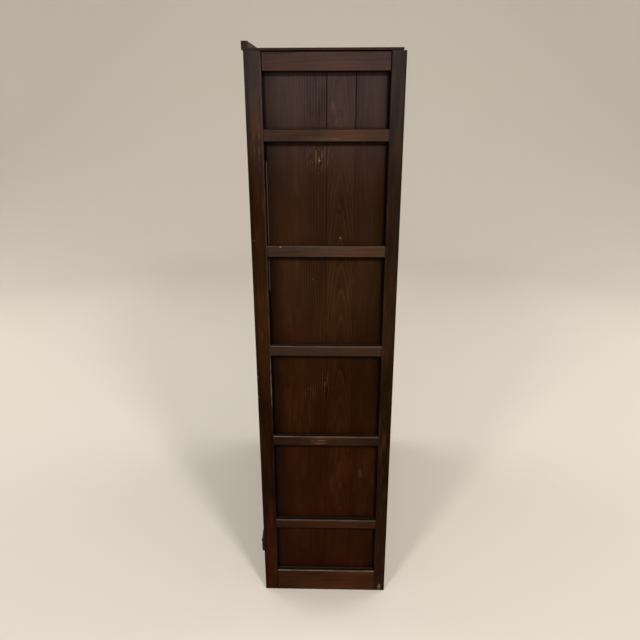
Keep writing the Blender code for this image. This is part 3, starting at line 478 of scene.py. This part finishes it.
def stain(shader, figure, colours, lines=-0.23, fibres=0.50, streaks=0.90, warmth=0.50, tone=1.0):
    """Stain whose colour and painted sheen change with height, that gathers in the wood's figure and is warm
    where it is rubbed thin.
    """
    offsets = Figure(*(shader.maths('SUBTRACT', *pair) for pair in zip(figure, FIGURE_MIDDLES)))
    rubbed = shader.maths('MULTIPLY_ADD', offsets.streak, RUBBED_STREAKS, figure.blotch)
    colour = shader.blend(shader.rise(rubbed, *RUBBED_RAMP, 0.0, warmth), stain_and_sheen_by_height(shader, colours), WARM_STAIN)
    lightness = tone
    for offset, strength in zip(offsets, Figure(lines, fibres, BLOTCH_STRENGTH, streaks)):
        lightness = shader.maths('MULTIPLY_ADD', offset, strength, lightness)
    return shader.scaled(colour, lightness)


def darkened_by_grime_and_shade(shader, colour, mask, strength=1.0):
    """A colour darkened where the mask says: grime, and painted shade on the side walls."""
    return shader.blend(shader.maths('MULTIPLY', mask, strength), colour, GRIME_AND_SHADE)


def raised_grain(shader, figure, late_share, strength, depth):
    """The grain as relief."""
    shader.bump(shader.maths('MULTIPLY_ADD', figure.late, late_share, figure.fibre), strength, depth)


def lacquer(shader, colour, figure, bare=0.0):
    """A worn satin lacquer: rougher where the wood is bare, with the grain showing as relief."""
    raised_grain(shader, figure, *LACQUER_GRAIN)
    roughness = shader.maths('MULTIPLY_ADD', figure.blotch, LACQUER_UNEVENNESS, LACQUER_ROUGHNESS)
    roughness = shader.maths('MULTIPLY_ADD', bare, BARE_ROUGHNESS, roughness)
    return shader.finish(colour, roughness, LACQUER_SPECULAR)


def rubbed_edges(shader, name):
    """Patches along the edges of a piece's box where the finish has gone."""
    patches = shader.noise(moved(shader, shader.place, name), EDGE_PATCH_CELLS, detail=3.0)
    reach = shader.maths('MULTIPLY', patches, EDGE_RUB_REACH)
    return shader.rise(shader.maths('SUBTRACT', edge_distance(shader, *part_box(name)), reach), *EDGE_RUB)


def frame_wood(name, axis, colours, wear):
    """A stained frame piece, rubbed along its edges: its shader, colour, figure and bareness."""
    shader = Shader(name)
    figure = straight_figure(shader, name, axis)
    colour = stain(shader, figure, colours)
    if name in FRAME_RUBS:
        *place, strength = FRAME_RUBS[name]
        dashes = shader.noise(along_grain(shader, axis), RUB_CELLS)
        rubbed = shader.product(
            spot(shader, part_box(name)[1].x, *place), shader.rise(figure.late, *RUB_LINES),
            shader.rise(dashes, *RUB_DASHES), strength)
        colour = shader.blend(rubbed, colour, WORN_WOOD)
    bare = shader.maths('MULTIPLY', rubbed_edges(shader, name), wear)
    colour = shader.blend(bare, colour, BARE_WOOD)
    return shader, colour, figure, bare


def post_material(name):
    """A corner post: dark along its outer edges, and worn where hands have caught its inner edge, with a
    painted highlight there.
    """
    row = name.split("_")[1]
    shader, colour, figure, bare = frame_wood(name, "Z", POST_STAINS_AND_SHEEN[row], EDGE_WEAR["post"])
    low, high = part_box(name)
    outer_face = max(abs(low.x), abs(high.x))
    outer_edge, inner_edge = (low.y, high.y) if row == "front" else (high.y, low.y)
    from_outer = shader.distance(shader.y, outer_edge)
    from_inner = shader.distance(shader.y, inner_edge)
    behind_face = shader.maths('SUBTRACT', outer_face, shader.maths('ABSOLUTE', shader.x))
    dark_edge = shader.product(
        shader.rise(from_outer, POST_EDGE_REACH[row], 0.0), shader.rise(behind_face, *POST_FACE))
    colour = darkened_by_grime_and_shade(shader, colour, dark_edge, POST_EDGE_GRIME)
    for height, reach, strength in SOILED_STRETCHES.get(name, ()):
        stretch = shader.rise(shader.distance(shader.z, height), reach, 0.0)
        colour = darkened_by_grime_and_shade(shader, colour, stretch, strength)
    if row == "front":
        colour = held_and_highlit_edge(shader, colour, from_inner, behind_face)
    if name == "post_front_right":
        for nick in POST_NICKS:
            colour = shader.blend(spot(shader, outer_face, *nick, depth=NICK_DEPTH), colour, BARE_WOOD)
    if name == "post_rear_right":
        splinters = shader.rise(shader.noise(shader.place, CHIP_CELLS), *CHIP_SPLINTERS)
        chip = shader.product(spot(shader, outer_face, *FOOT_CHIP), splinters)
        colour = shader.blend(shader.rise(chip, *CHIP_EDGE), colour, CHIPPED_WOOD)
    return lacquer(shader, colour, figure, bare)


def held_and_highlit_edge(shader, colour, from_inner, behind_face):
    """The inner edge of a front post: polished where hands have caught it, with a painted highlight there,
    and soiled low down.
    """
    held = shader.window(shader.z, *HELD_AND_HIGHLIT_HEIGHTS)
    wear = shader.maths('MULTIPLY_ADD', held, HELD_WEAR_AND_HIGHLIGHT, shader.rise(shader.z, *POST_ARRIS_WEAR_AND_HIGHLIGHT))
    arris = shader.rise(shader.maths('MAXIMUM', from_inner, behind_face), *POST_ARRIS)
    patches = shader.noise(shader.place, POST_ARRIS_CELLS, detail=3.0)
    # The pale colour paints both wear and a highlight on this edge
    polished_and_highlit = shader.product(arris, wear, shader.rise(patches, *POST_ARRIS_PATCHES))
    colour = shader.blend(polished_and_highlit, colour, POLISHED_EDGE_AND_HIGHLIGHT)
    low_grime = shader.product(shader.rise(from_inner, *LOW_EDGE), shader.rise(shader.z, *LOW_EDGE_HEIGHTS))
    return darkened_by_grime_and_shade(shader, colour, low_grime, LOW_EDGE_GRIME)


def shoulders(side):
    """Where the rails and the wall of a side show between its posts."""
    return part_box(f"post_front_{side}")[1].y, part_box(f"post_rear_{side}")[0].y


def side_rail_material(name):
    """A side rail: its upper outer edge is rubbed and has a painted highlight, its ledge is painted darker,
    and dust lies where its ledge meets the wall.
    """
    shader, colour, figure, bare = frame_wood(name, "Y", RAIL_STAIN_AND_SHEEN, EDGE_WEAR["side_rail"])
    side, number = name.split("_")[2:]
    index = int(number) - 1
    low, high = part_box(name)
    inner, outer = sorted((abs(low.x), abs(high.x)))
    outwards = shader.maths('ABSOLUTE', shader.x)
    below_top = shader.maths('SUBTRACT', high.z, shader.z)
    behind_face = shader.maths('SUBTRACT', outer, outwards)
    from_wall = shader.maths('SUBTRACT', outwards, inner)

    lean = RAIL_LEAN[index]
    shade = shader.product(
        shader.rise(shader.y, *LEAN_FRONT, 1.0 - LEAN_FRONT_SHARE * lean, 1.0 + lean),
        shader.rise(shader.y, *LEAN_REAR, 1.0 - lean, 1.0))
    colour = shader.scaled(colour, shade)
    shoulder = shader.inset(shader.y, *shoulders(side))
    colour = darkened_by_grime_and_shade(shader, colour, shader.rise(shoulder, *JOINT_LINE), JOINT_GRIME[index])

    # The ledge is painted darker
    on_ledge = shader.rise(below_top, *LEDGE)
    colour = shader.blend(shader.maths('MULTIPLY', on_ledge, LEDGE_DARKENING), colour, LEDGE_DARK)
    # The upper outer edge: worn, and given a painted highlight in the pale colour
    wear = ARRIS_WEAR_AND_HIGHLIGHT[index]
    streaks = shader.noise(moved(shader, shader.place, name), RAIL_ARRIS_CELLS, detail=3.0)
    arris = shader.rise(shader.maths('MAXIMUM', below_top, behind_face), *RAIL_ARRIS)
    worn = shader.product(arris, shader.rise(streaks, *RAIL_ARRIS_STREAKS, RAIL_ARRIS_LEAST * wear, wear))
    colour = shader.blend(worn, colour, POLISHED_EDGE_AND_HIGHLIGHT)
    dust = shader.product(on_ledge, shader.rise(from_wall, *DUST_STRIP, DUST_LEAST, LEDGE_DUST[index]))
    colour = shader.blend(dust, colour, DUST)
    if name == "side_rail_right_3":
        for y, z, size in LEDGE_BITS:
            colour = shader.blend(spot(shader, outer, y, z, size, size, depth=size), colour, PAINT_SPECK)
    return lacquer(shader, colour, figure, shader.maths('MAXIMUM', bare, dust))


def cross_rail_material(name):
    """Front and rear rails, the top, the cornice and the drawer's front, with darker ends."""
    shader, colour, figure, bare = frame_wood(name, "X", RAIL_STAIN_AND_SHEEN, EDGE_WEAR["cross_rail"])
    from_end = shader.maths('SUBTRACT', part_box(name)[1].x, shader.maths('ABSOLUTE', shader.x))
    colour = darkened_by_grime_and_shade(shader, colour, shader.rise(from_end, *END_GRIME))
    return lacquer(shader, colour, figure, bare)


def side_wall_material(name):
    """Three edge-joined cedar boards, stained outside and raw inside; the middle one has a flame figure."""
    shader = Shader(name)
    side = name.split("_")[2]
    sign = 1.0 if side == "right" else -1.0
    inner, outer = sorted(abs(corner.x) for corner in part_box(name))
    face = sign * outer

    def by_board(levels):
        return shader.steps(shader.y, SEAMS, levels)

    pith_x = by_board([face - sign * depth for depth, across in WALL_PITHS])
    pith_y = by_board([across for depth, across in WALL_PITHS])
    pith = shader.join(0.0, pith_x, shader.maths('MULTIPLY_ADD', shader.z, -FLAME_LEAN, pith_y))
    figure = wood_figure(
        shader, name, along_grain(shader, "Z"), pith, WALL_RING_PITCH,
        by_board(WALL_WANDER), by_board(WALL_TAPER))

    # Grain lines show mid-wall: dark high up, where the painted sheen is paler, pale below, and faint near
    # the floor
    lined = shader.product(shader.rise(shader.y, *LINED_FROM), shader.rise(shader.y, *LINED_TO))
    darkness = shader.product(shader.rise(shader.z, *DARK_LINES), by_board(DARK_LINE_STRENGTHS))
    shade = shader.maths('SUBTRACT', shader.rise(shader.z, *PALE_LINES), darkness)
    colour = stain(
        shader, figure, PANEL_STAIN_AND_SHEEN, lines=shader.product(lined, shade), fibres=0.32, streaks=0.35,
        warmth=0.25, tone=by_board(WALL_TONES))

    colour = wall_grime_and_shade(shader, colour, side)
    if side == "right":
        colour = photographed_marks(shader, colour, face, figure)
    inside = shader.maths('LESS_THAN', shader.maths('ABSOLUTE', shader.x), (inner + outer) / 2)
    colour = shader.blend(inside, colour, raw_colour(shader, figure))
    return lacquer(shader, colour, figure, inside)


def wall_grime_and_shade(shader, colour, side):
    """Grime along a side wall's board joints, and painted shade along its rails and posts."""
    rails = [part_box(f"side_rail_{side}_{number}") for number in range(RAIL_COUNT, 0, -1)]
    tops = [high.z for low, high in rails[:-1]]
    undersides = [low.z for low, high in rails[1:]]

    def by_field(levels):
        return shader.steps(shader.z, tops[1:], levels)

    front, rear = shoulders(side)
    under_rail = shader.maths('SUBTRACT', by_field(undersides), shader.z)
    above_rail = shader.maths('SUBTRACT', shader.z, by_field(tops))
    from_front = shader.maths('SUBTRACT', shader.y, front)
    from_rear = shader.maths('SUBTRACT', rear, shader.y)
    from_seam = shader.maths('MINIMUM', *(shader.distance(shader.y, seam) for seam in SEAMS))
    seam_grime = shader.rise(shader.z, undersides[-2], tops[-1], 0.0, SEAM_GRIME)
    colour = darkened_by_grime_and_shade(shader, colour, shader.rise(from_seam, *SEAM_LINE), seam_grime)
    # Painted shade in the corners under the rails and beside the rear post, and over each field by the rails
    # and posts
    colour = darkened_by_grime_and_shade(shader, colour, shader.rise(under_rail, *UNDER_RAIL_CORNER_SHADE))
    colour = darkened_by_grime_and_shade(shader, colour, shader.rise(from_rear, *REAR_CORNER_SHADE))
    reach = shader.rise(shader.z, *UNDER_RAIL_REACH)
    for gap, (ramp, strengths) in (
            (shader.maths('DIVIDE', under_rail, reach), UNDER_RAIL_SHADE),
            (above_rail, ABOVE_RAIL_SHADE),
            (from_rear, REAR_SHADE),
            (from_front, FRONT_CORNER_SHADE),
            (from_front, FRONT_SHADE)):
        colour = darkened_by_grime_and_shade(shader, colour, shader.rise(gap, *ramp), by_field(strengths))
    return colour


def photographed_marks(shader, colour, face, figure):
    """Worn streaks, scratches, a knot, shrunk edges and flecks of paint on the photographed wall."""
    flecks = shader.noise(shader.place, FLECK_CELLS)
    worn_lines = shader.product(shader.rise(flecks, *DASHES), shader.rise(figure.late, *WORN_LINES))
    scuffs = shader.rise(flecks, *SCUFFS)
    for marks, pattern in ((WORN_STREAKS, worn_lines), (SCRATCHES, scuffs)):
        for *place, strength in marks:
            worn = shader.product(spot(shader, face, *place), pattern, strength)
            colour = shader.blend(worn, colour, WORN_WOOD)
    *place, strength = KNOT
    colour = darkened_by_grime_and_shade(shader, colour, spot(shader, face, *place), strength)
    for y, *heights in SHRUNK_STRIPS:
        line = shader.rise(shader.distance(shader.y, y), *STRIP_LINE)
        strip = shader.product(line, shader.window(shader.z, *heights))
        colour = shader.blend(strip, colour, SHRUNK_EDGE)
    for y, z, size in SPECKS:
        colour = shader.blend(spot(shader, face, y, z, size, size), colour, PAINT_SPECK)
    return colour


def panel_material(name):
    """A door panel of one wide board."""
    shader = Shader(name)
    low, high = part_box(name)
    middle = (low + high) / 2
    pith = (0.0, middle.x + PANEL_PITH[0], middle.y + PANEL_PITH[1])
    figure = wood_figure(
        shader, name, along_grain(shader, "Z"), pith, PANEL_RING_PITCH, PANEL_WANDER, PANEL_TAPER)
    colour = stain(
        shader, figure, PANEL_STAIN_AND_SHEEN, lines=-0.36, fibres=0.60, streaks=0.40, warmth=0.30, tone=1.15)
    return lacquer(shader, colour, figure)


def lattice_material(name):
    """A door's lattice, with the grain of its upright bars."""
    shader, colour, figure, bare = frame_wood(name, "Z", FRONT_POST_STAIN_AND_SHEEN, EDGE_WEAR["lattice"])
    return lacquer(shader, colour, figure, bare)


def door_frame_material(name):
    """A door frame: upright grain in the stiles, level grain in the rails, dark joints, a handled edge."""
    shader = Shader(name)
    low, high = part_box(name)
    from_side = shader.inset(shader.x, low.x, high.x)
    in_rail = shader.maths('GREATER_THAN', from_side, STILE_WIDTH)
    upright = straight_figure(shader, name, "Z")
    level = straight_figure(shader, name, "X")
    figure = Figure(*(shader.between(in_rail, *pair) for pair in zip(upright, level)))
    colour = stain(shader, figure, FRONT_POST_STAIN_AND_SHEEN, lines=-0.30, fibres=0.63)
    colour = darkened_by_grime_and_shade(shader, colour, shader.rise(shader.distance(from_side, STILE_WIDTH), *DOOR_JOINT))
    pull_low, pull_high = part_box(name.replace("_frame", "_pull"))
    handled = near(shader, (pull_low + pull_high) / 2, HANDLED_REACH)
    colour = shader.blend(shader.maths('MULTIPLY', handled, HANDLED_WARMTH), colour, WARM_STAIN)
    bare = shader.maths('MULTIPLY', rubbed_edges(shader, name), EDGE_WEAR["door"])
    colour = shader.blend(bare, colour, BARE_WOOD)
    return lacquer(shader, colour, figure, shader.maths('MULTIPLY_ADD', handled, HANDLED_POLISH, bare))


def back_wall_material(name):
    """Three wide raw boards, each cut from another part of the log."""
    shader = Shader(name)
    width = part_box("post_rear_right")[0].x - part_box("post_rear_left")[1].x
    half_board = width / len(BACK_PITHS) / 2
    seams = (-half_board, half_board)
    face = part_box(name)[1].y
    pith_x = shader.steps(shader.x, seams, [across for depth, across in BACK_PITHS])
    pith_y = shader.steps(shader.x, seams, [face - depth for depth, across in BACK_PITHS])
    pith = shader.join(0.0, pith_x, pith_y)
    figure = wood_figure(
        shader, name, along_grain(shader, "Z"), pith, RAW_RING_PITCH, BACK_WANDER, BACK_TAPER)
    return raw_finish(shader, figure, shader.steps(shader.x, seams, BACK_TONES))


def raw_material(name, axis):
    """A raw piece of the inside."""
    shader = Shader(name)
    return raw_finish(shader, straight_figure(shader, name, axis, RAW_RING_PITCH))


def raw_colour(shader, figure, tone=0.0):
    """Unfinished softwood, darkened with age."""
    darkness = shader.maths('ADD', tone, RAW_OFFSET)
    for part, share in zip(figure, RAW_SHARES):
        darkness = shader.maths('MULTIPLY_ADD', part, share, darkness)
    return shader.blend(shader.rise(darkness, 0.0, 1.0), RAW_LIGHT, RAW_DARK)


def raw_finish(shader, figure, tone=0.0):
    """Raw wood: matt, with its grain raised."""
    raised_grain(shader, figure, *RAW_GRAIN)
    roughness = shader.maths('MULTIPLY_ADD', figure.fibre, RAW_UNEVENNESS, RAW_ROUGHNESS)
    return shader.finish(raw_colour(shader, figure, tone), roughness, RAW_SPECULAR)


def iron_material(name):
    """Blackened wrought iron with hammer marks and a little rust."""
    shader = Shader(name)
    own = moved(shader, shader.place, name)
    hammered = shader.noise(own, HAMMER_CELLS)
    rust = shader.rise(shader.noise(own, RUST_CELLS, detail=4.0), *RUST_RAMP)
    shader.bump(hammered, *HAMMER_RELIEF)
    roughness = shader.maths('MULTIPLY_ADD', hammered, IRON_UNEVENNESS, IRON_ROUGHNESS)
    roughness = shader.maths('MULTIPLY_ADD', rust, RUST_ROUGHNESS, roughness)
    return shader.finish(shader.blend(rust, IRON, RUST), roughness, IRON_SPECULAR, IRON_METALLIC)


def ease_edges(piece, width):
    """Round a piece's sharp edges; its own mesh stays as it is."""
    weld = piece.modifiers.new("joined_faces", 'WELD')
    weld.merge_threshold = WELD_DISTANCE
    bevel = piece.modifiers.new("eased_edges", 'BEVEL')
    bevel.width = width
    bevel.segments = EASE_SEGMENTS
    bevel.limit_method = 'ANGLE'
    bevel.angle_limit = EASE_ANGLE


def is_iron(name):
    """Whether a node is one of the iron fittings."""
    return name.endswith("_pull") or "pull_plate" in name or "bail" in name


def material_for(name):
    """The finish of each node, by the kind of piece that its name says."""
    if is_iron(name):
        return iron_material(name)
    if name.startswith("post_"):
        return post_material(name)
    if name.startswith("side_rail_"):
        return side_rail_material(name)
    if name.startswith("side_wall_"):
        return side_wall_material(name)
    if name.endswith("_panel"):
        return panel_material(name)
    if name.endswith("_frame"):
        return door_frame_material(name)
    if name.endswith("_lattice"):
        return lattice_material(name)
    if name == "back_wall":
        return back_wall_material(name)
    if name.startswith(("shelf_", "floor_", "bottom_board", "drawer_back", "drawer_bottom")):
        return raw_material(name, "X")
    if name.startswith(("drawer_side", "drawer_guide")):
        return raw_material(name, "Y")
    return cross_rail_material(name)


def dress_nodes():
    """Give each node its finish, and round its edges."""
    for name, piece in NODES.items():
        material = material_for(name)
        for slot in piece.material_slots:
            slot.material = material
        if not any(kind in name for kind in UNEASED):
            ease_edges(piece, IRON_EASE if is_iron(name) else EDGE_EASE)


def new_object(name, bm, material):
    """Link a finished bmesh as an object with one material."""
    mesh = bpy.data.meshes.new(name)
    bm.to_mesh(mesh)
    bm.free()
    mesh.materials.append(material)
    result = bpy.data.objects.new(name, mesh)
    bpy.context.scene.collection.objects.link(result)
    return result


def add_nails():
    """Domed nail heads, slightly uneven, that hold the drawer's pull plates."""
    plate_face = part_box("drawer_front")[0].y - PLATE_THICKNESS
    for side in ("left", "right"):
        low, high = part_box(f"drawer_pull_plate_{side}")
        middle = (low + high) / 2
        bm = bmesh.new()
        for index, place in enumerate(NAIL_PLACES):
            centre = Vector((middle.x + place, plate_face, middle.z))
            add_dome(bm, centre, NAIL_RADIUS * (1 + NAIL_SPREAD * math.sin(NAIL_SPREAD_TURN * index)))
        nails = new_object(f"drawer_pull_nails_{side}", bm, iron_material(f"nails_{side}"))
        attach(nails, "drawer")


def add_dome(bm, centre, radius):
    """A dome on the plate that faces the front, closed behind."""
    rings = []
    for ring in range(NAIL_RINGS):
        angle = math.pi / 2 * ring / NAIL_RINGS
        reach = radius * math.cos(angle)
        rise = NAIL_HEIGHT * math.sin(angle)
        points = []
        for step in range(NAIL_SIDES):
            turn = 2 * math.pi * step / NAIL_SIDES
            uneven = 1 + NAIL_BULGE * math.sin(2 * turn + NAIL_BULGE_TURN * centre.x)
            offset = Vector((reach * uneven * math.cos(turn), -rise, reach * uneven * math.sin(turn)))
            points.append(bm.verts.new(centre + offset))
        rings.append(points)
    tip = bm.verts.new(centre + Vector((0.0, -NAIL_HEIGHT, 0.0)))
    bm.faces.new(rings[0][::-1])
    for step in range(NAIL_SIDES):
        after = (step + 1) % NAIL_SIDES
        for lower, upper in zip(rings, rings[1:]):
            bm.faces.new((lower[step], lower[after], upper[after], upper[step])).smooth = True
        bm.faces.new((rings[-1][step], rings[-1][after], tip)).smooth = True


def paint_material():
    """Pale paint of the studio, with faint clouds."""
    shader = Shader("studio_paint")
    shade = tuple(part * FLOOR_SHADE for part in FLOOR_COLOUR)
    clouds = shader.rise(shader.noise(shader.place, FLOOR_CELLS), *FLOOR_CLOUDS)
    return shader.finish(shader.blend(clouds, FLOOR_COLOUR, shade), FLOOR_ROUGHNESS, FLOOR_SPECULAR)


def build_stage():
    """A pale round floor that curves up into a wall all about the object."""
    inner = STAGE_RADIUS - COVE_RADIUS
    profile = []
    for step in range(COVE_STEPS + 1):
        angle = math.pi / 2 * step / COVE_STEPS
        profile.append((inner + COVE_RADIUS * math.sin(angle), COVE_RADIUS * (1 - math.cos(angle))))
    profile.append((STAGE_RADIUS, WALL_HEIGHT))
    turns = [2 * math.pi * step / STAGE_STEPS for step in range(STAGE_STEPS)]
    bm = bmesh.new()
    rings = []
    for radius, height in profile:
        points = [(radius * math.cos(turn), radius * math.sin(turn), height) for turn in turns]
        rings.append([bm.verts.new(point) for point in points])
    bm.faces.new(rings[0]).smooth = True
    for lower, upper in zip(rings, rings[1:]):
        for step in range(STAGE_STEPS):
            after = (step + 1) % STAGE_STEPS
            bm.faces.new((lower[step], upper[step], upper[after], lower[after])).smooth = True
    floor = new_object("studio_floor", bm, paint_material())


def add_area_light(name, place, size, power):
    """A round lamp that shines on the object."""
    data = bpy.data.lights.new(name, 'AREA')
    data.shape = 'DISK'
    data.size = size
    data.energy = power
    data.color = LIGHT_COLOUR
    lamp = bpy.data.objects.new(name, data)
    lamp.location = place
    lamp.rotation_euler = (Vector(LIGHT_TARGET) - Vector(place)).to_track_quat('-Z', 'Y').to_euler()
    bpy.context.scene.collection.objects.link(lamp)


def build_light():
    """An even world, two lamps over the photographed side and two large ones at the front and the back."""
    world = bpy.data.worlds.new("studio")
    world.use_nodes = True
    background = world.node_tree.nodes["Background"]
    background.inputs["Color"].default_value = (*WORLD_COLOUR, 1.0)
    background.inputs["Strength"].default_value = WORLD_STRENGTH
    bpy.context.scene.world = world
    for row, side in LIGHT_SIDES.items():
        add_area_light(f"key_{row}", (KEY_OUT, side * KEY_ASIDE, KEY_HEIGHT), KEY_SIZE, KEY_POWERS[row])
        add_area_light(f"fill_{row}", (FILL_OUT, side * FILL_ASIDE, FILL_HEIGHT), FILL_SIZE, FILL_POWER)


def build_camera():
    """The photograph's camera."""
    data = bpy.data.cameras.new("photo_camera")
    data.sensor_width = CAMERA_SENSOR
    data.lens = CAMERA_LENS
    camera = bpy.data.objects.new("photo_camera", data)
    outer_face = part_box("post_front_right")[1].x
    place = Matrix.Translation((outer_face + CAMERA_OUT, CAMERA_ASIDE, CAMERA_HEIGHT))
    turn = Matrix.Rotation(math.pi / 2 + CAMERA_YAW, 4, 'Z')
    tilt = Matrix.Rotation(math.pi / 2 - CAMERA_PITCH, 4, 'X')
    roll = Matrix.Rotation(CAMERA_ROLL, 4, 'Z')
    camera.matrix_world = place @ turn @ tilt @ roll
    bpy.context.scene.collection.objects.link(camera)
    bpy.context.scene.camera = camera


bpy.context.scene.view_settings.view_transform = 'Standard'
dress_nodes()
add_nails()
build_stage()
build_light()
build_camera()
bpy.context.view_layer.update()
